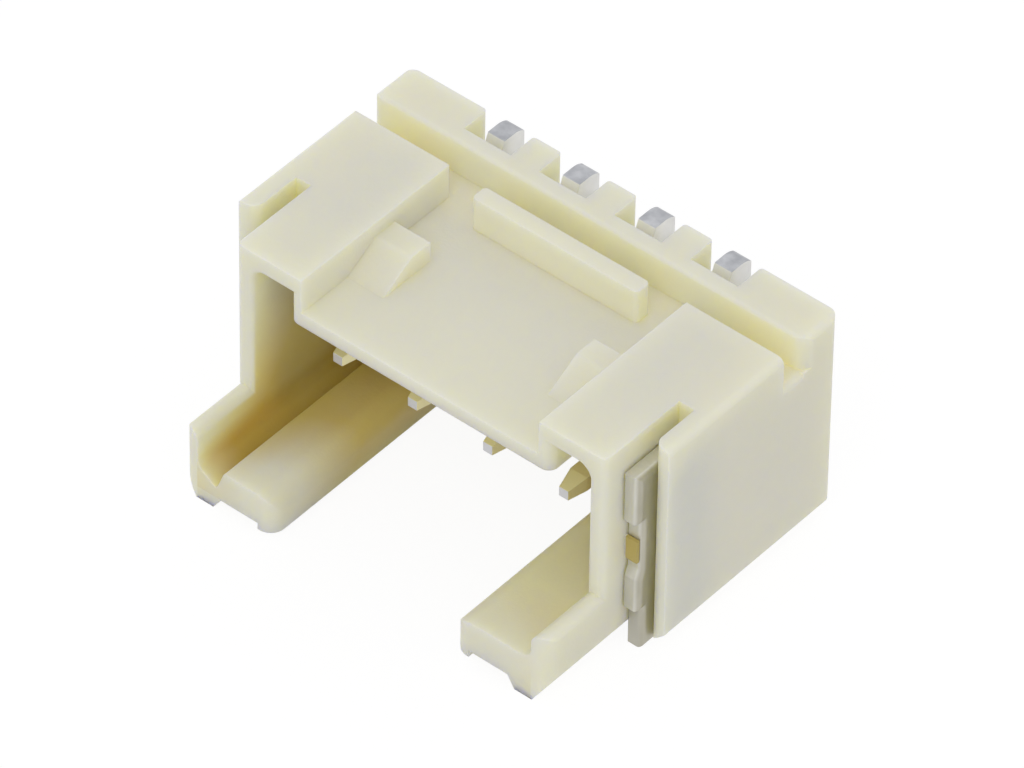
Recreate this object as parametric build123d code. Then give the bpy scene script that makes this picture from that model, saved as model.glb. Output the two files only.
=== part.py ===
"""Male connector housing: a right-angle board header with blanked pins.

Millimetres. The board is the plane Z = 0, the mating mouth faces -Y and the
solder tails stand at +Y. Depths are first laid out from the front edge of the
outer walls, and the whole part is then slid along Y so that its origin is the
middle of its base. The two halves of the housing are alike but for the key
groove in the left guide strip and the sharper edges of the left wall.
"""

import math
import os

from build123d import *

# Circuits
CIRCUITS = 4
PITCH = 2.0

# Widths, in order from the centre plane of the housing
LATCH_PLATE_HALF = 3.13
WEB_WALL = 0.32
SHOULDER_ROOM = 0.99
INNER_WALL = 0.41
NAIL_SLOT = 0.40
OUTER_WALL = 0.42

# Heights above the board
HOUSING_TOP = 5.62
SHOULDER_DROP = 0.89
PLATE = 0.34
ROOF = 0.47
ARM_TOP = 1.80
FLOOR_TOP = 1.10
SIDE_BASE_HEIGHT = 0.17

# Depths, from the front edge of the outer walls, plus is towards the tails
ARM_REACH = 2.72
MOUTH_REACH = 1.00
SLOT_DEPTH = 1.30
SHOULDER_DEPTH = 3.61
GROOVE = 0.66
RAIL = 1.12
TAIL_NOTCH = 0.74
REAR_WALL = 1.30

# Rounding and chamfers
BASE_CHAMFER_X = 0.37
BASE_CHAMFER_Z = 0.58
SIDE_CHAMFER_Z = 0.36
RIGHT_EDGE_R = 0.17
LEFT_EDGE_R = 0.05
RIGHT_RAIL_CORNER_R = 0.30
LEFT_RAIL_CORNER_R = 0.06
RAIL_EDGE_R = 0.08
RAIL_REAR_CORNER_R = 0.25
TOOTH_CORNER_R = 0.08
ARM_CORNER_R = 0.36
MOUTH_CORNER_R = 0.32
MOUTH_EDGE_R = 0.12
WEB_CORNER_R = 0.24
WALL_CORNER_R = 0.16
SLOT_MOUTH_R = 0.28

# Guide strips along the foot of the side walls
STRIP_WIDTH = 2.03
STRIP_RIDGE = 0.41
STRIP_RIDGE_HEIGHT = 0.13
STRIP_RECESS = 1.02
STRIP_RECESS_HEIGHT = 0.30
RIDGE_SLOPE = 0.18
FLOOR_EDGE_R = 0.48
FLOOR_ROOT_R = 0.30

# Key groove in the left guide strip
KEY_WIDTH = 0.71
KEY_DEPTH = 0.54
KEY_FLANK = 0.20
KEY_BEND_R = 0.35

# Teeth of the rail
TOOTH = 0.75

# Latch features on top of the plate
RIB_LENGTH = 4.36
RIB_THICK = 0.42
RIB_DEPTH = 3.20
RIB_DROP = 0.04
RIB_CORNER_R = 0.10
WEDGE_WIDTH = 0.96
WEDGE_DEPTH = 1.91
WEDGE_FLAT = 0.59
WEDGE_RAMP = 0.89
WEDGE_DROP = 0.37
WEDGE_BEND_R = 0.20

# Pins
PIN = 0.45
PIN_TIP = 0.24
PIN_TAPER = 0.48
PIN_REACH = 0.015
PIN_HEIGHT = 2.84
HUMP_DROP = 0.06
HUMP_FLAT = 0.44
HUMP_FALL = 0.11
HUMP_R = 0.50
POST = 0.62
POST_REACH = 0.30
POST_SHOULDER = 0.12
SHOULDER_BELOW_TOP = 0.30
TAIL_FOOT = 0.85
TAIL_FOOT_HEIGHT = 0.40
BEND_R = 0.10

# Fitting nails
NAIL = 0.37
NAIL_DROP = 0.73
NAIL_FRONT = 0.40
NAIL_NOTCH = 0.16
NAIL_LOWER_SETBACK = 0.06
NAIL_FOOT_SETBACK = 0.22
NAIL_END_GAP = 0.10
NAIL_UPPER_TOOTH = 1.31
NAIL_LOWER_TOOTH = 0.88
NAIL_LOWER_TOOTH_HEIGHT = 1.12
NAIL_HOOK_SLOPE = 0.25
NAIL_EDGE_R = 0.14
KEEPER_BELOW_TOOTH = 0.50
KEEPER_HEIGHT = 0.60
KEEPER_SETBACK = 0.07
KEEPER_THICK = 0.08
KEEPER_WIDTH = 0.33

# Sizes that follow
WEB_X = LATCH_PLATE_HALF + WEB_WALL
CAVITY_HALF = WEB_X + SHOULDER_ROOM
SIDE_X = CAVITY_HALF + INNER_WALL
SLOT_X = SIDE_X + NAIL_SLOT
NAIL_X = SLOT_X - NAIL
HALF_WIDTH = SLOT_X + OUTER_WALL
PLATE_TOP = HOUSING_TOP - SHOULDER_DROP
PLATE_UNDER = PLATE_TOP - PLATE
ROOF_UNDER = HOUSING_TOP - ROOF
STRIP_X = CAVITY_HALF - STRIP_WIDTH
SIDE_CHAMFER_TOP = SIDE_BASE_HEIGHT + SIDE_CHAMFER_Z
RAIL_FRONT = SHOULDER_DEPTH + GROOVE
RAIL_REAR = RAIL_FRONT + RAIL
NOTCH_FRONT = RAIL_REAR - TAIL_NOTCH
NOTCH_WIDTH = PITCH - TOOTH
CAVITY_REAR = NOTCH_FRONT - REAR_WALL
STRIP_REAR = CAVITY_REAR + REAR_WALL / 2
POST_FRONT = NOTCH_FRONT + POST_REACH
POST_REAR = POST_FRONT + POST
FOOT_REAR = POST_REAR + TAIL_FOOT
PIN_LOW = PIN_HEIGHT - PIN / 2
NAIL_TOP = HOUSING_TOP - NAIL_DROP
NAIL_TOOTH_UNDER = NAIL_TOP - NAIL_UPPER_TOOTH
MIDDLE = (FOOT_REAR - ARM_REACH) / 2
PIN_PLACES = [(i - (CIRCUITS - 1) / 2) * PITCH for i in range(CIRCUITS)]
PAST = 1.0


def outline(corners):
    """Closed face from (u, v, radius) corners; a radius above zero rounds the corner."""
    count = len(corners)
    entry, leave, middle = [], [], []
    for i, (u, v, r) in enumerate(corners):
        here = Vector(u, v)
        back = (Vector(*corners[i - 1][:2]) - here).normalized()
        ahead = (Vector(*corners[(i + 1) % count][:2]) - here).normalized()
        half = back.get_angle(ahead) / 2
        if r <= 0 or half > 89:
            entry.append(here)
            leave.append(here)
            middle.append(None)
            continue
        reach = r / math.tan(math.radians(half))
        inward = (back + ahead).normalized()
        centre = here + inward * (r / math.sin(math.radians(half)))
        entry.append(here + back * reach)
        leave.append(here + ahead * reach)
        middle.append(centre - inward * r)
    edges = []
    for i in range(count):
        if middle[i] is not None:
            edges.append(ThreePointArc(entry[i], middle[i], leave[i]))
        after = entry[(i + 1) % count]
        if (after - leave[i]).length > 1e-6:
            edges.append(Line(leave[i], after))
    return make_face(edges)


def along_y(face, front, rear):
    """Prism of an X-Z face between two depths."""
    return extrude(Plane.XZ.offset(-rear) * face, amount=rear - front)


def along_x(face, left, right):
    """Prism of a Y-Z face between two widths."""
    return extrude(Plane.YZ.offset(left) * face, amount=right - left)


def along_z(face, low, high):
    """Prism of an X-Y face between two heights."""
    return extrude(Plane.XY.offset(low) * face, amount=high - low)


def block(x0, x1, y0, y1, z0, z1):
    """Plain block between two corners."""
    return Pos(x0, y0, z0) * Box(x1 - x0, y1 - y0, z1 - z0, align=(Align.MIN, Align.MIN, Align.MIN))


def rounding(x, y, r, towards_x, towards_y, low, high):
    """Cutter for an upright corner at (x, y) of a body that lies towards (towards_x, towards_y)."""
    corner = Pos(x + towards_x * r / 2, y + towards_y * r / 2) * Rectangle(r, r)
    kept = Pos(x + towards_x * r, y + towards_y * r) * Circle(r)
    return along_z(corner - kept, low, high)


def shoulder_section():
    """Right half of the plate, the raised shoulder and the side of the mating space."""
    return outline([
        (0, FLOOR_TOP, 0),
        (0, PLATE_TOP, 0),
        (LATCH_PLATE_HALF, PLATE_TOP, 0),
        (LATCH_PLATE_HALF, HOUSING_TOP, 0),
        (SIDE_X, HOUSING_TOP, 0),
        (SIDE_X, FLOOR_TOP, 0),
    ])


def mouth_section():
    """Right half of the mating space under the plate and under the shoulder."""
    return outline([
        (0, 0, 0),
        (0, PLATE_UNDER, 0),
        (WEB_X, PLATE_UNDER, 0),
        (WEB_X, ROOF_UNDER, 0),
        (CAVITY_HALF, ROOF_UNDER, MOUTH_CORNER_R),
        (CAVITY_HALF, 0, 0),
    ])


def strip_section(keyed):
    """Guide strip and the low side wall that stands on it, with or without the key groove."""
    recess_end = STRIP_X + STRIP_RIDGE + STRIP_RECESS
    foot = [
        (STRIP_X, STRIP_RIDGE_HEIGHT, 0),
        (STRIP_X + STRIP_RIDGE, STRIP_RIDGE_HEIGHT, 0),
        (STRIP_X + STRIP_RIDGE, STRIP_RECESS_HEIGHT, 0),
        (recess_end, STRIP_RECESS_HEIGHT, 0),
        (recess_end + RIDGE_SLOPE, 0, 0),
        (SIDE_X - BASE_CHAMFER_X, 0, 0),
        (SIDE_X, BASE_CHAMFER_Z, 0),
        (SIDE_X, ARM_TOP, INNER_WALL * 0.49),
        (CAVITY_HALF, ARM_TOP, INNER_WALL * 0.49),
    ]
    root = [(CAVITY_HALF, FLOOR_TOP, FLOOR_ROOT_R)]
    if keyed:
        low = FLOOR_TOP - KEY_DEPTH
        root = [
            (CAVITY_HALF, low + KEY_BEND_R, KEY_BEND_R),
            (CAVITY_HALF - KEY_WIDTH + KEY_FLANK, low, BEND_R / 2),
            (CAVITY_HALF - KEY_WIDTH, FLOOR_TOP, BEND_R / 2),
        ]
    return outline(foot + root + [(STRIP_X, FLOOR_TOP, FLOOR_EDGE_R)])


def strip(keyed):
    """One guide strip with its arm, rounded at the front corners."""
    bar = along_y(strip_section(keyed), -ARM_REACH, STRIP_REAR)
    bar -= rounding(STRIP_X, -ARM_REACH, ARM_CORNER_R, 1, 1, -PAST, ARM_TOP)
    return bar - rounding(SIDE_X, -ARM_REACH, ARM_CORNER_R, -1, 1, -PAST, ARM_TOP + PAST)


def side_wall(top, front, rear, edge_r):
    """Length of the outer wall, solid out to the mating space, with its long edge rounded."""
    section = outline([
        (CAVITY_HALF, SIDE_BASE_HEIGHT, 0),
        (HALF_WIDTH - BASE_CHAMFER_X, SIDE_BASE_HEIGHT, 0),
        (HALF_WIDTH, SIDE_CHAMFER_TOP, 0),
        (HALF_WIDTH, top, edge_r),
        (CAVITY_HALF, top, 0),
    ])
    return along_y(section, front, rear)


def outer_wall(edge_r):
    """Outer wall beside the mating space, slotted for the nail."""
    wall = side_wall(HOUSING_TOP, 0, SHOULDER_DEPTH, edge_r)
    wall -= block(0, SLOT_X, -PAST, SLOT_DEPTH, -PAST, HOUSING_TOP + PAST)
    wall -= rounding(SLOT_X, 0, SLOT_MOUTH_R, 1, 1, 0, HOUSING_TOP)
    return wall + side_wall(PLATE_TOP, SHOULDER_DEPTH, RAIL_FRONT, edge_r)


def rail_end(edge_r, corner_r):
    """Right half of the rear wall and of the bar on top of it."""
    profile = outline([
        (RAIL_FRONT, SIDE_BASE_HEIGHT, 0),
        (RAIL_FRONT, HOUSING_TOP, RAIL_EDGE_R),
        (RAIL_REAR, HOUSING_TOP, 0),
        (RAIL_REAR, SIDE_BASE_HEIGHT, 0),
    ])
    bar = side_wall(HOUSING_TOP, RAIL_FRONT, RAIL_REAR, edge_r)
    bar += block(0, CAVITY_HALF, RAIL_FRONT, RAIL_REAR, SIDE_BASE_HEIGHT, HOUSING_TOP)
    bar &= along_x(profile, 0, HALF_WIDTH)
    bar -= rounding(HALF_WIDTH, RAIL_FRONT, corner_r, -1, 1, PLATE_TOP, HOUSING_TOP)
    return bar - rounding(HALF_WIDTH, RAIL_REAR, RAIL_REAR_CORNER_R, -1, -1, 0, HOUSING_TOP)


def tail_notches():
    """Upright notches that the solder tails stand in, rounded where they leave the rail."""
    cut = []
    for x in PIN_PLACES:
        for side in (-1, 1):
            edge = x + side * NOTCH_WIDTH / 2
            cut.append(rounding(edge, RAIL_REAR, TOOTH_CORNER_R, side, -1, -PAST, HOUSING_TOP + PAST))
        left = x - NOTCH_WIDTH / 2
        cut.append(block(left, left + NOTCH_WIDTH, NOTCH_FRONT, RAIL_REAR + PAST, -PAST, HOUSING_TOP + PAST))
    return cut


def pin_holes():
    """Square holes that the pins are pressed through."""
    return [
        block(x - PIN / 2, x + PIN / 2, CAVITY_REAR - PAST, NOTCH_FRONT + PAST, PIN_LOW, PIN_LOW + PIN)
        for x in PIN_PLACES
    ]


def latch_rib():
    """Long rib across the plate that stiffens it where the latch pulls."""
    plan = Pos(0, RIB_DEPTH + RIB_THICK / 2) * RectangleRounded(RIB_LENGTH, RIB_THICK, RIB_CORNER_R)
    return along_z(plan, PLATE_UNDER + PLATE / 2, HOUSING_TOP - RIB_DROP)


def latch_wedge():
    """Ramp beside a shoulder that the mating latch snaps over."""
    top = HOUSING_TOP - WEDGE_DROP
    foot = WEDGE_DEPTH - WEDGE_FLAT - WEDGE_RAMP
    side = outline([
        (WEDGE_DEPTH, PLATE_UNDER + PLATE / 2, 0),
        (foot, PLATE_UNDER + PLATE / 2, 0),
        (foot, PLATE_TOP, 0),
        (WEDGE_DEPTH - WEDGE_FLAT, top, WEDGE_BEND_R),
        (WEDGE_DEPTH, top, 0.03),
    ])
    return along_x(side, LATCH_PLATE_HALF - WEDGE_WIDTH, LATCH_PLATE_HALF + WEB_WALL / 2)


def nail_keeper():
    """Small upright rib in the notch at the front edge of the nail."""
    front = -NAIL_FRONT + KEEPER_SETBACK
    top = NAIL_TOOTH_UNDER - KEEPER_BELOW_TOOTH
    outer = SIDE_X + KEEPER_WIDTH
    return block(SIDE_X - INNER_WALL / 2, outer, front, front + KEEPER_THICK, top - KEEPER_HEIGHT, top)


def mouth_rim(shell, start):
    """Edges of the mouth on the front face from a width outwards, the innermost first."""
    rim = shell.faces().sort_by(Axis.Y)[0].edges()
    rim = rim.filter_by(lambda e: FLOOR_TOP < e.center().Z < (ROOF_UNDER + HOUSING_TOP) / 2)
    rim = rim.filter_by(lambda e: start < e.center().X < (CAVITY_HALF + SIDE_X) / 2)
    return rim.sort_by(Axis.X)


def mating_shell():
    """Right half of the shroud in front of the rail, with the edges of its mouth softened."""
    shell = along_y(shoulder_section(), -MOUTH_REACH, SHOULDER_DEPTH)
    shell -= along_y(mouth_section(), -MOUTH_REACH - PAST, CAVITY_REAR)
    shell = fillet(mouth_rim(shell, LATCH_PLATE_HALF)[:1], WEB_CORNER_R)
    shell = fillet(mouth_rim(shell, WEB_X + WEB_CORNER_R / 4), MOUTH_EDGE_R)
    return shell - rounding(SIDE_X, -MOUTH_REACH, WALL_CORNER_R, -1, 1, 0, HOUSING_TOP)


def half_body(keyed, edge_r, rail_corner_r):
    """Right half of the housing."""
    half = mating_shell() + outer_wall(edge_r)
    half += block(0, SIDE_X, CAVITY_REAR, RAIL_FRONT, SIDE_BASE_HEIGHT, PLATE_TOP)
    half += rail_end(edge_r, rail_corner_r)
    return half + strip(keyed) + latch_wedge() + nail_keeper()


def make_housing():
    """The one moulded body."""
    right = half_body(False, RIGHT_EDGE_R, RIGHT_RAIL_CORNER_R)
    left = half_body(True, LEFT_EDGE_R, LEFT_RAIL_CORNER_R)
    body = right + mirror(left, about=Plane.YZ) + latch_rib()
    return body - tail_notches() - pin_holes()


def make_terminal():
    """Blanked pin: tapered tip, post with a rounded hump, foot on the board."""
    tip = PIN_TIP / 2
    half = PIN / 2
    top = HOUSING_TOP - HUMP_DROP
    neck = top - SHOULDER_BELOW_TOP
    taper = PIN_TAPER - PIN_REACH
    side = outline([
        (-PIN_REACH, PIN_HEIGHT - tip, 0),
        (-PIN_REACH, PIN_HEIGHT + tip, 0),
        (taper, PIN_HEIGHT + half, 0),
        (POST_FRONT - POST_SHOULDER, PIN_HEIGHT + half, BEND_R / 2),
        (POST_FRONT - POST_SHOULDER, neck, BEND_R),
        (POST_FRONT, top, BEND_R / 4),
        (POST_FRONT + HUMP_FLAT, top, HUMP_R),
        (POST_REAR, top - HUMP_FALL, BEND_R / 2),
        (POST_REAR, TAIL_FOOT_HEIGHT, BEND_R),
        (FOOT_REAR, TAIL_FOOT_HEIGHT, BEND_R),
        (FOOT_REAR, 0, BEND_R / 2),
        (POST_FRONT, 0, BEND_R),
        (POST_FRONT, PIN_LOW - POST_SHOULDER, BEND_R / 2),
        (POST_FRONT - POST_SHOULDER, PIN_LOW, BEND_R / 2),
    ])
    plan = outline([
        (-tip, -PIN_REACH, 0),
        (tip, -PIN_REACH, 0),
        (half, taper, 0),
        (half, FOOT_REAR, 0),
        (-half, FOOT_REAR, 0),
        (-half, taper, 0),
    ])
    return along_x(side, -half, half) & along_z(plan, 0, HOUSING_TOP)


def make_nail():
    """Blanked sheet nail on edge in the slot: two teeth, a foot and a rolled outer edge."""
    web = -NAIL_FRONT + NAIL_NOTCH
    lower = -NAIL_FRONT + NAIL_LOWER_SETBACK
    shin = -NAIL_FRONT + NAIL_FOOT_SETBACK
    tooth_top = NAIL_LOWER_TOOTH_HEIGHT + NAIL_LOWER_TOOTH
    rear = SLOT_DEPTH - NAIL_END_GAP
    side = outline([
        (-NAIL_FRONT, NAIL_TOP, 0),
        (rear, NAIL_TOP, 0),
        (rear, 0, 0),
        (shin, 0, 0),
        (shin, NAIL_LOWER_TOOTH_HEIGHT, 0),
        (lower, NAIL_LOWER_TOOTH_HEIGHT, 0),
        (lower, tooth_top, 0),
        (web, tooth_top + NAIL_HOOK_SLOPE, 0),
        (web, NAIL_TOOTH_UNDER, 0),
        (-NAIL_FRONT, NAIL_TOOTH_UNDER, 0),
    ])
    blank = along_x(side, NAIL_X, SLOT_X)
    return fillet(blank.faces().sort_by(Axis.X)[-1].edges(), NAIL_EDGE_R)


os.makedirs("parts", exist_ok=True)
nodes = {"housing": make_housing()}
for number, place in enumerate(PIN_PLACES, 1):
    nodes["terminal_%d" % number] = Pos(place, 0, 0) * make_terminal()
nodes["fitting_nail_right"] = make_nail()
nodes["fitting_nail_left"] = mirror(make_nail(), about=Plane.YZ)
for name, shape in nodes.items():
    export_step(Pos(0, -MIDDLE, 0) * shape, "parts/%s.step" % name)
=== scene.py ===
"""Right-angle board header in ivory plastic, seen from above its mating mouth."""

import math

import bpy
from mathutils import Matrix, Vector

# Colours are linear, and lengths are in metres, but for the lens and the sensor in millimetres
WHITE = (1.0, 1.0, 1.0, 1.0)
SHARE = (0.0, 1.0)

# Camera, as the photograph was taken
AZIMUTH = math.radians(39.53)
ELEVATION = math.radians(43.54)
ROLL = math.radians(-0.90)
DISTANCE = 0.219
LENS = 383.9
SENSOR = 36.0
CLIP_START = 0.01
AIM = Vector((0.001456, -0.001678, 0.004784))

# Lighting
WORLD_STRENGTH = 0.75
KEY_AZIMUTH = math.radians(28)
KEY_ELEVATION = math.radians(49)
KEY_DISTANCE = 0.35
KEY_SIZE = 0.16
KEY_POWER = 0.19

# Floor
FLOOR_HALF = 0.6
FLOOR_COLOUR = (0.9, 0.9, 0.9, 1.0)
FLOOR_ROUGHNESS = 0.9
FLOOR_GLOW = 1.04
SHADOW_SHARE = 0.12

# Noise: its usual detail, and the middle of its values, which is spread over a whole range
DETAIL = 3.0
MIDDLE = (0.3, 0.7)

# Fine grain, and how far the edges of the moulding and of the blanked metal look softened
GRAIN_SCALE = 14000.0
MOULDED_GRAIN = 0.000004
METAL_GRAIN = 0.000002
MOULDED_EDGE = 0.000040
METAL_EDGE = 0.000025
EDGE_SAMPLES = 6

# Width over which one tint gives way to the next at a sharp boundary
STEP = 0.00002

# Ivory nylon: its own colour in the open, a painted yellow glow in hollows that also tints the random
# mottle, and painted shade and light at the places below
IVORY = (0.75, 0.735, 0.635, 1.0)
IVORY_GLOW_AND_MOTTLE = (0.91, 0.87, 0.66, 1.0)
IVORY_SPACE_SHADE = (0.65, 0.53, 0.20, 1.0)
IVORY_GROOVE_SHADE = (0.58, 0.44, 0.09, 1.0)
IVORY_LIT = (0.90, 0.85, 0.56, 1.0)
IVORY_NOTCH_SHADE = (0.47, 0.37, 0.10, 1.0)
HOLLOW_REACH = 0.0014
HOLLOW_SAMPLES = 8
HOLLOW_OPENNESS = (0.35, 0.85)
CLOUD_SCALE = 900.0
CLOUD_DETAIL = 2.0
CLOUD_SHARES = (0.0, 0.06)
IVORY_GLOSS_SCALE = 2700.0
IVORY_ROUGHNESS = (0.40, 0.50)
IVORY_IOR = 1.5
SCATTER_RADIUS = (1.0, 0.92, 0.35)
SCATTER_SCALE = 0.0012

# Mating space, where shade is painted deepest into the ivory: its bounds, and how the painted shade
# grows outwards, back and up
SPACE_HALF = 0.00446
SPACE_TOP = 0.00442
SPACE_REAR = 0.00155
SPACE_LEAN = (0.5, 1.0, -0.6)
SPACE_FADE = (-0.0029, -0.0010)

# Key groove of the left guide strip, where shade is painted: its lowest place, and how the painted shade
# fades along X, Y and Z
GROOVE_LOW = 0.0003
GROOVE_FADES = ((-0.0032, -0.0039), (-0.0049, -0.0035), (0.0014, 0.0009))

# Floor of the right guide strip, which glows with the light that comes through its wall
LIT_START = 0.0020
LIT_TOP = 0.0012
LIT_FADES = (("Y", (-0.0046, -0.0028)), ("Y", (0.0008, -0.0010)), ("Z", (0.0004, 0.0010)))

# Ribs that keep the nails, where golden shade is painted: past this width and in front of this depth
KEEPER_X = 0.00487
KEEPER_Y = -0.00205

# Tin of the terminals: outside, as a painted dark reflection on the humps' level faces, as a painted
# golden reflection of the ivory in the mating space, and on the pins' ends
TIN = (0.88, 0.88, 0.88, 1.0)
TIN_DARK = (0.80, 0.80, 0.80, 1.0)
TIN_HUMP_SHADE = (0.58, 0.59, 0.62, 1.0)
TIN_HUMP_SHADE_DARK = (0.40, 0.41, 0.44, 1.0)
TIN_IVORY_REFLECTION = (0.95, 0.89, 0.54, 1.0)
TIN_TIP = (0.66, 0.66, 0.69, 1.0)
TIN_CLOUD_SCALE = 1800.0
HUMP_SHADE_SCALE = 2700.0
HUMP_SHADE_DETAIL = 4.0
HUMP_SHADE_MIDDLE = (0.35, 0.65)
HUMP_HEIGHT = 0.0050
HUMP_FACING = (0.4, 0.9)
TIP_FACING = (0.9, 0.97)
TERMINAL_ROUGHNESS = (0.36, 0.46)
TERMINAL_METAL = 0.35

# Tin of the nails: on their fronts, on their feet, and as painted shade and painted reflection of the
# ivory on their sides
NAIL_TIN = (0.72, 0.71, 0.66, 1.0)
NAIL_TIN_DARK = (0.64, 0.63, 0.58, 1.0)
NAIL_FOOT = (0.47, 0.455, 0.39, 1.0)
NAIL_SIDE_SHADE = (0.50, 0.48, 0.40, 1.0)
NAIL_SIDE_SHADE_DARK = (0.42, 0.40, 0.32, 1.0)
FOOT_HEIGHT = 0.0011
STREAK_SCALE = 5400.0
STREAK_SQUEEZE = (1.0, 1.0, 0.15)
SIDE_SHADE_FACING = (0.2, 0.7)
NAIL_ROUGHNESS = (0.38, 0.48)
NAIL_METAL = 0.8
TIN_GLOSS_SCALE = 3600.0


def link(tree, source, target):
    """Join two sockets."""
    tree.links.new(source, target)


def new_material(name):
    """A fresh material with its node tree and its Principled shader."""
    material = bpy.data.materials.new(name)
    material.use_nodes = True
    tree = material.node_tree
    return material, tree, tree.nodes["Principled BSDF"]


def coordinates(tree, kind):
    """The part's own coordinates, as Object for places and Normal for directions, as three values."""
    place = tree.nodes.new("ShaderNodeTexCoord")
    split = tree.nodes.new("ShaderNodeSeparateXYZ")
    link(tree, place.outputs[kind], split.inputs[0])
    return split.outputs


def noise(tree, scale, detail=DETAIL, squeeze=(1.0, 1.0, 1.0)):
    """Noise in the part's own coordinates, stretched along an axis squeezed below one."""
    place = tree.nodes.new("ShaderNodeTexCoord")
    fitted = tree.nodes.new("ShaderNodeMapping")
    fitted.inputs["Scale"].default_value = squeeze
    texture = tree.nodes.new("ShaderNodeTexNoise")
    texture.inputs["Scale"].default_value = scale
    texture.inputs["Detail"].default_value = detail
    link(tree, place.outputs["Object"], fitted.inputs["Vector"])
    link(tree, fitted.outputs["Vector"], texture.inputs["Vector"])
    return texture.outputs["Fac"]


def arithmetic(tree, operation, first, second):
    """Arithmetic on a socket and another socket or number."""
    node = tree.nodes.new("ShaderNodeMath")
    node.operation = operation
    link(tree, first, node.inputs[0])
    if isinstance(second, float):
        node.inputs[1].default_value = second
    else:
        link(tree, second, node.inputs[1])
    return node.outputs[0]


def product(tree, first, *others):
    """Product of a socket and other sockets or numbers."""
    for other in others:
        first = arithmetic(tree, "MULTIPLY", first, other)
    return first


def unsigned(tree, value):
    """A value without its sign."""
    return arithmetic(tree, "ABSOLUTE", value, 0.0)


def spread(tree, source, span, result=SHARE):
    """Stretch a span of a value over a result, clamped at the ends."""
    node = tree.nodes.new("ShaderNodeMapRange")
    node.inputs["From Min"].default_value, node.inputs["From Max"].default_value = span
    node.inputs["To Min"].default_value, node.inputs["To Max"].default_value = result
    link(tree, source, node.inputs["Value"])
    return node.outputs["Result"]


def past(tree, value, edge, side):
    """One where a value is past an edge, above it for a side of 1 and below it for -1."""
    return spread(tree, value, (edge, edge + side * STEP))


def facing(tree, axis, span):
    """Zero to one as a face turns towards either way of an axis of the part."""
    return spread(tree, unsigned(tree, coordinates(tree, "Normal")[axis]), span)


def blend(tree, share, first, second):
    """Colour between two others, each a constant or a socket."""
    node = tree.nodes.new("ShaderNodeMix")
    node.data_type = "RGBA"
    link(tree, share, node.inputs[0])
    for colour, socket in ((first, node.inputs[6]), (second, node.inputs[7])):
        if isinstance(colour, tuple):
            socket.default_value = colour
        else:
            link(tree, colour, socket)
    return node.outputs[2]


def finish_surface(tree, shader, depth, edge):
    """Fine surface unevenness, and edges whose shading is softened over a width."""
    rounded = tree.nodes.new("ShaderNodeBevel")
    rounded.samples = EDGE_SAMPLES
    rounded.inputs["Radius"].default_value = edge
    bump = tree.nodes.new("ShaderNodeBump")
    bump.inputs["Strength"].default_value = 1.0
    bump.inputs["Distance"].default_value = depth
    link(tree, rounded.outputs["Normal"], bump.inputs["Normal"])
    link(tree, noise(tree, GRAIN_SCALE), bump.inputs["Height"])
    link(tree, bump.outputs["Normal"], shader.inputs["Normal"])


def between_walls(tree, place):
    """One within the walls of the mating space, zero elsewhere."""
    across = past(tree, unsigned(tree, place["X"]), SPACE_HALF, -1)
    ahead = past(tree, place["Y"], SPACE_REAR, -1)
    below = past(tree, place["Z"], SPACE_TOP, -1)
    return product(tree, across, ahead, below)


def space_shade(tree):
    """Mask of painted shade: one deep inside the mating space, falling towards its mouth and zero
    elsewhere.
    """
    place = coordinates(tree, "Object")
    ways = (unsigned(tree, place["X"]), place["Y"], place["Z"])
    leant = [product(tree, way, lean) for way, lean in zip(ways, SPACE_LEAN)]
    depth = arithmetic(tree, "ADD", arithmetic(tree, "ADD", leant[0], leant[1]), leant[2])
    return product(tree, between_walls(tree, place), spread(tree, depth, SPACE_FADE))


def groove_shade(tree):
    """Mask of painted shade: one in the key groove, falling across its strip, towards the mouth and up
    the wall.
    """
    place = coordinates(tree, "Object")
    fades = [spread(tree, place[axis], fade) for axis, fade in zip("XYZ", GROOVE_FADES)]
    return product(tree, between_walls(tree, place), past(tree, place["Z"], GROOVE_LOW, 1), *fades)


def right_strip(tree):
    """One on the floor of the right guide strip under the mouth, falling to zero both ways along it."""
    place = coordinates(tree, "Object")
    beside = past(tree, place["X"], LIT_START, 1)
    below = past(tree, place["Z"], LIT_TOP, -1)
    fades = [spread(tree, place[axis], fade) for axis, fade in LIT_FADES]
    return product(tree, between_walls(tree, place), beside, below, *fades)


def nail_keepers(tree):
    """One on the small ribs in the notches of the nails, where golden shade is painted."""
    place = coordinates(tree, "Object")
    outside = past(tree, unsigned(tree, place["X"]), KEEPER_X, 1)
    return product(tree, outside, past(tree, place["Y"], KEEPER_Y, -1))


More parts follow.
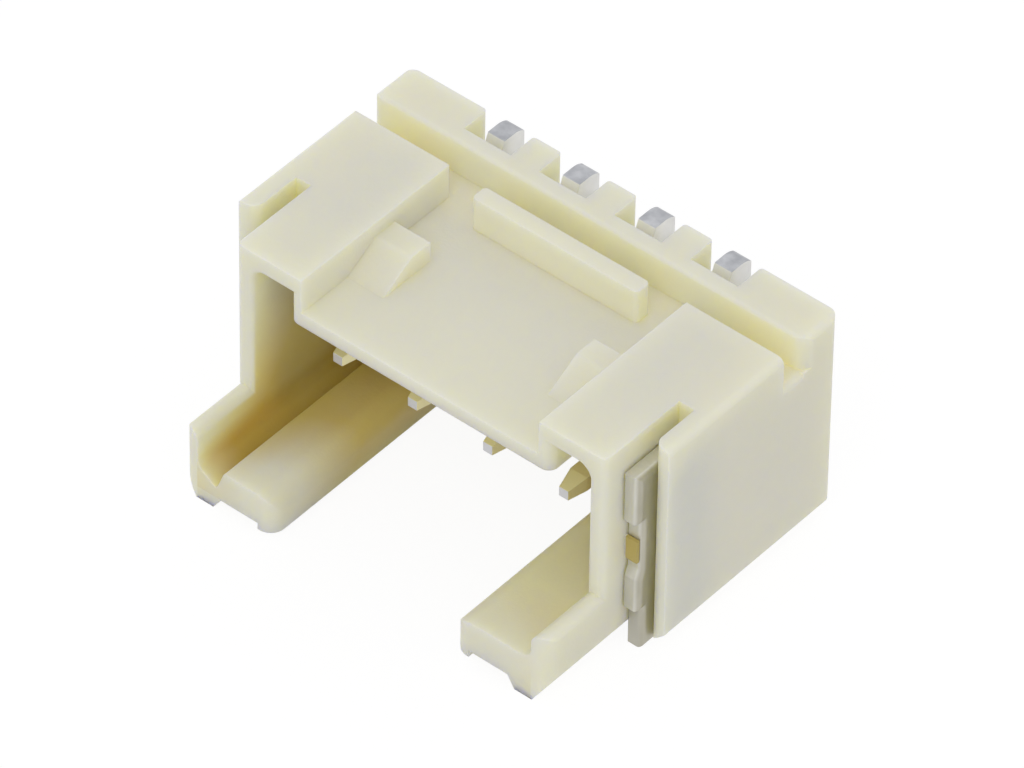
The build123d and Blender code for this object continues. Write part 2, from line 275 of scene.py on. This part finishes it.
def ivory_plastic():
    """Moulded nylon: milky and satin, with a painted yellow glow in hollows, painted shade in the mating
    space, the key groove and the notch ribs, and painted light on the right strip's floor.
    """
    material, tree, shader = new_material("ivory_plastic")
    hollow = tree.nodes.new("ShaderNodeAmbientOcclusion")
    hollow.samples = HOLLOW_SAMPLES
    hollow.inputs["Distance"].default_value = HOLLOW_REACH
    keepers = nail_keepers(tree)
    # Painted yellow glow in hollows: lighter, yellower ivory where the ambient occlusion is low
    face = blend(tree, spread(tree, hollow.outputs["AO"], HOLLOW_OPENNESS), IVORY_GLOW_AND_MOTTLE, IVORY)
    # Painted shade deep in the mating space
    face = blend(tree, space_shade(tree), face, IVORY_SPACE_SHADE)
    # Painted shade in the key groove of the left strip
    face = blend(tree, groove_shade(tree), face, IVORY_GROOVE_SHADE)
    face = blend(tree, right_strip(tree), face, IVORY_LIT)
    # Painted golden shade on the ribs in the nails' notches
    face = blend(tree, keepers, face, IVORY_NOTCH_SHADE)
    cloud = spread(tree, noise(tree, CLOUD_SCALE, CLOUD_DETAIL), MIDDLE, CLOUD_SHARES)
    gloss = spread(tree, noise(tree, IVORY_GLOSS_SCALE), MIDDLE, IVORY_ROUGHNESS)
    link(tree, blend(tree, cloud, face, IVORY_GLOW_AND_MOTTLE), shader.inputs["Base Color"])
    link(tree, gloss, shader.inputs["Roughness"])
    link(tree, spread(tree, keepers, SHARE, (1.0, 0.0)), shader.inputs["Subsurface Weight"])
    shader.inputs["Subsurface Radius"].default_value = SCATTER_RADIUS
    shader.inputs["Subsurface Scale"].default_value = SCATTER_SCALE
    shader.inputs["IOR"].default_value = IVORY_IOR
    finish_surface(tree, shader, MOULDED_GRAIN, MOULDED_EDGE)
    return material


def tin(name, roughness, metallic):
    """Tin plating over copper alloy, with its colour still to be linked."""
    material, tree, shader = new_material(name)
    gloss = spread(tree, noise(tree, TIN_GLOSS_SCALE), MIDDLE, roughness)
    link(tree, gloss, shader.inputs["Roughness"])
    shader.inputs["Metallic"].default_value = metallic
    finish_surface(tree, shader, METAL_GRAIN, METAL_EDGE)
    return material, tree, shader


def terminal_tin():
    """Bright tin, with a cloudy grey painted dark reflection on the humps' level faces and a painted
    golden reflection of the ivory in the mating space.
    """
    material, tree, shader = tin("tinned_terminal", TERMINAL_ROUGHNESS, TERMINAL_METAL)
    place = coordinates(tree, "Object")
    outside = blend(tree, spread(tree, noise(tree, TIN_CLOUD_SCALE), MIDDLE), TIN, TIN_DARK)
    # Painted golden reflection of the ivory on the terminals in the mating space, left off the pins'
    # ends
    inside = blend(tree, facing(tree, "Y", TIP_FACING), TIN_IVORY_REFLECTION, TIN_TIP)
    face = blend(tree, past(tree, place["Y"], SPACE_REAR, -1), outside, inside)
    # Painted dark reflection, cloudy grey, on the humps' level faces
    cloud = spread(tree, noise(tree, HUMP_SHADE_SCALE, HUMP_SHADE_DETAIL), HUMP_SHADE_MIDDLE)
    hump_shade = blend(tree, cloud, TIN_HUMP_SHADE, TIN_HUMP_SHADE_DARK)
    humps = product(tree, facing(tree, "Z", HUMP_FACING), past(tree, place["Z"], HUMP_HEIGHT, 1))
    link(tree, blend(tree, humps, face, hump_shade), shader.inputs["Base Color"])
    return material


def nail_tin():
    """Matt tin, streaked along the height of the nail, with painted shade and painted reflection of the
    ivory on its sides.
    """
    material, tree, shader = tin("tinned_nail", NAIL_ROUGHNESS, NAIL_METAL)
    streaks = spread(tree, noise(tree, STREAK_SCALE, squeeze=STREAK_SQUEEZE), MIDDLE)
    height = coordinates(tree, "Object")["Z"]
    front = blend(tree, streaks, NAIL_TIN, NAIL_TIN_DARK)
    front = blend(tree, past(tree, height, FOOT_HEIGHT, -1), front, NAIL_FOOT)
    # Painted shade and painted reflection of the ivory on the nail's sides
    side_shade = blend(tree, streaks, NAIL_SIDE_SHADE, NAIL_SIDE_SHADE_DARK)
    sides = facing(tree, "X", SIDE_SHADE_FACING)
    link(tree, blend(tree, sides, front, side_shade), shader.inputs["Base Color"])
    return material


def dress(pieces):
    """Give each node of the frame its finish."""
    finishes = {
        "housing": ivory_plastic(),
        "terminal": terminal_tin(),
        "fitting": nail_tin(),
    }
    for name, piece in pieces.items():
        piece.data.materials.clear()
        piece.data.materials.append(finishes[name.split("_")[0]])


def towards(azimuth, elevation):
    """Direction from the part to a place at an azimuth from -Y and an elevation."""
    return Vector((
        math.sin(azimuth) * math.cos(elevation),
        -math.cos(azimuth) * math.cos(elevation),
        math.sin(elevation),
    ))


def place_camera():
    """Long lens, far off, as the photograph shows nearly parallel edges."""
    back = towards(AZIMUTH, ELEVATION)
    level = Vector((math.cos(AZIMUTH), math.sin(AZIMUTH), 0))
    rise = back.cross(level)
    right = math.cos(ROLL) * level - math.sin(ROLL) * rise
    up = math.sin(ROLL) * level + math.cos(ROLL) * rise
    data = bpy.data.cameras.new("camera")
    data.lens = LENS
    data.sensor_width = SENSOR
    data.clip_start = CLIP_START
    camera = bpy.data.objects.new("camera", data)
    turn = Matrix((right, up, back)).transposed()
    camera.matrix_world = Matrix.Translation(AIM + back * DISTANCE) @ turn.to_4x4()
    bpy.context.scene.collection.objects.link(camera)
    bpy.context.scene.camera = camera


def seen_directly(tree):
    """One where a ray comes from the camera, a reflection or clear matter, else zero."""
    paths = tree.nodes.new("ShaderNodeLightPath").outputs
    share = arithmetic(tree, "MAXIMUM", paths["Is Camera Ray"], paths["Is Glossy Ray"])
    return arithmetic(tree, "MAXIMUM", share, paths["Is Transmission Ray"])


def mix_shaders(tree, share, first, second, output):
    """Show the second shader by a share and the first by the rest."""
    mixed = tree.nodes.new("ShaderNodeMixShader")
    link(tree, share, mixed.inputs[0])
    link(tree, first.outputs[0], mixed.inputs[1])
    link(tree, second.outputs[0], mixed.inputs[2])
    link(tree, mixed.outputs[0], tree.nodes[output].inputs["Surface"])


def lay_floor():
    """Pale floor that keeps a faint shadow and shows white to the camera."""
    mesh = bpy.data.meshes.new("floor")
    h = FLOOR_HALF
    mesh.from_pydata([(-h, -h, 0), (h, -h, 0), (h, h, 0), (-h, h, 0)], [], [(0, 1, 2, 3)])
    floor = bpy.data.objects.new("floor", mesh)
    bpy.context.scene.collection.objects.link(floor)
    material, tree, shader = new_material("floor")
    shader.inputs["Base Color"].default_value = FLOOR_COLOUR
    shader.inputs["Roughness"].default_value = FLOOR_ROUGHNESS
    glow = tree.nodes.new("ShaderNodeEmission")
    glow.inputs["Strength"].default_value = FLOOR_GLOW
    share = product(tree, seen_directly(tree), 1 - SHADOW_SHARE)
    mix_shaders(tree, share, shader, glow, "Material Output")
    mesh.materials.append(material)


def light_world():
    """Soft white surroundings, plain white where they are seen directly."""
    world = bpy.data.worlds.new("studio")
    world.use_nodes = True
    bpy.context.scene.world = world
    tree = world.node_tree
    fill = tree.nodes["Background"]
    fill.inputs["Color"].default_value = WHITE
    fill.inputs["Strength"].default_value = WORLD_STRENGTH
    backdrop = tree.nodes.new("ShaderNodeBackground")
    backdrop.inputs["Color"].default_value = WHITE
    backdrop.inputs["Strength"].default_value = 1.0
    mix_shaders(tree, seen_directly(tree), fill, backdrop, "World Output")


def add_lamp():
    """Square soft box above the camera."""
    data = bpy.data.lights.new("key", "AREA")
    data.size = KEY_SIZE
    data.energy = KEY_POWER
    lamp = bpy.data.objects.new("key", data)
    way = towards(KEY_AZIMUTH, KEY_ELEVATION)
    lamp.location = AIM + way * KEY_DISTANCE
    lamp.rotation_euler = way.to_track_quat("Z", "Y").to_euler()
    bpy.context.scene.collection.objects.link(lamp)


bpy.context.scene.view_settings.view_transform = "Standard"
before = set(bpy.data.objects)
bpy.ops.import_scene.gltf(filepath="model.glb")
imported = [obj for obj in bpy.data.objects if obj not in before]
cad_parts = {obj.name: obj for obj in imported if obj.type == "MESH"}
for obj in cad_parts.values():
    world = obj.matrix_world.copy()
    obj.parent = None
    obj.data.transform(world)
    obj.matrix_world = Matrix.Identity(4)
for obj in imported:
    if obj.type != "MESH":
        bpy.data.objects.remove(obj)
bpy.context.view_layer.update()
dress(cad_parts)
lay_floor()
light_world()
add_lamp()
place_camera()
